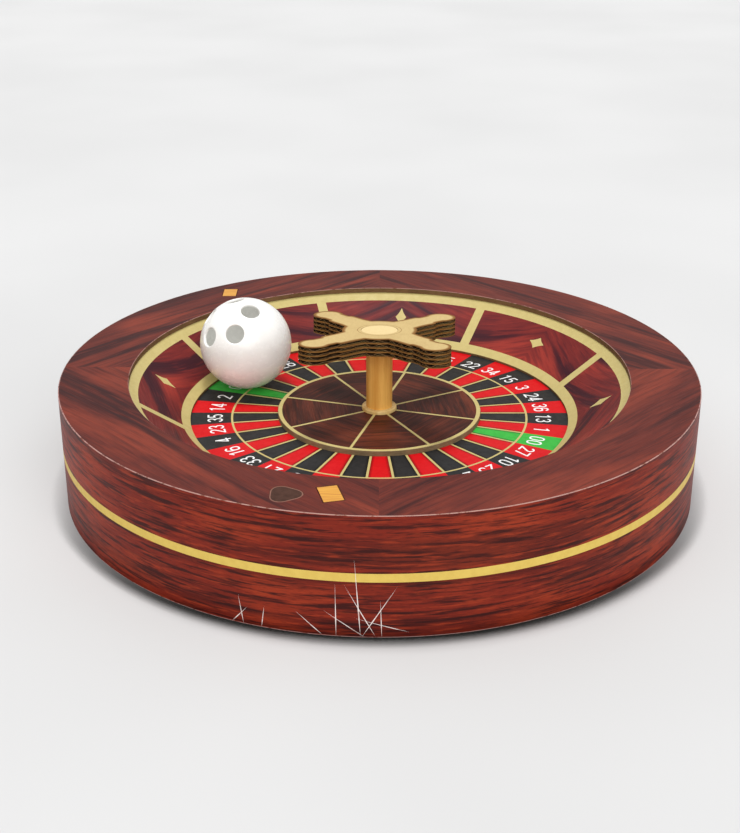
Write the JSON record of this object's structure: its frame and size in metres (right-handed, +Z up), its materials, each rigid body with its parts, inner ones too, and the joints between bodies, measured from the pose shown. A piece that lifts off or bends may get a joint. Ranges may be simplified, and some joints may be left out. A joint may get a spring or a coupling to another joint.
{
  "type": "roulette wheel",
  "caption": "Toy roulette wheel of printed board: drum housing with a sloping bowl, turning number deck on a dowel, cross-shaped handle and a perforated ball.",
  "frame": {"origin": "centre of the wheel's underside", "axes": "+Z up along the spindle; -Y towards the front; +X to the right"},
  "size_m": [0.36, 0.36, 0.0924],
  "materials": {
    "printed_wrap": "wood-print, satin",
    "printed_rim": "wood-print, satin",
    "printed_bowl": "wood-print, satin",
    "printed_deck": "printed, satin",
    "printed_disc": "wood-print, satin",
    "kraft_board": "matt kraft",
    "cut_board": "matt, scorched edges",
    "inlay_wood": "satin",
    "badge_print": "printed, satin",
    "pale_wood": "matt",
    "dowel_wood": "satin",
    "bush_plastic": "matt",
    "ball_plastic": "gloss"
  },
  "bodies": {
    "housing": {"base_board": "kraft_board", "wall_hoop": "kraft_board", "wall_wrap": "printed_wrap", "rim_board": "printed_rim", "inlay_back": "inlay_wood", "inlay_front": "inlay_wood", "rim_badge": "badge_print", "bowl_band": "printed_bowl", "inner_hoop": "kraft_board", "rib_1": "kraft_board", "rib_2": "kraft_board", "rib_3": "kraft_board", "rib_4": "kraft_board", "rib_5": "kraft_board", "rib_6": "kraft_board", "rib_7": "kraft_board", "rib_8": "kraft_board", "bearing_block": "pale_wood", "bearing_bush": "bush_plastic", "thrust_washer": "bush_plastic"},
    "rotor": {"number_deck": "printed_deck", "rotor_hub": "kraft_board", "centre_disc": "printed_disc", "spindle_collar": "pale_wood", "spindle": "dowel_wood", "handle_sheet_1": "cut_board", "handle_sheet_2": "cut_board", "handle_sheet_3": "cut_board", "handle_sheet_4": "cut_board", "handle_cap": "cut_board"},
    "ball": {"ball_shell_top": "ball_plastic", "ball_shell_bottom": "ball_plastic"}
  },
  "joints": [
    {"name": "rotor_spin", "type": "hinge", "parent": "housing", "child": "rotor", "pos_m": [0, 0, 0.0367], "axis": [0, 0, 1], "continuous": true},
    {"name": "ball_orbit", "type": "hinge", "parent": "housing", "child": "ball", "pos_m": [0, 0, 0.0642], "axis": [0, 0, 1], "continuous": true}
  ]
}
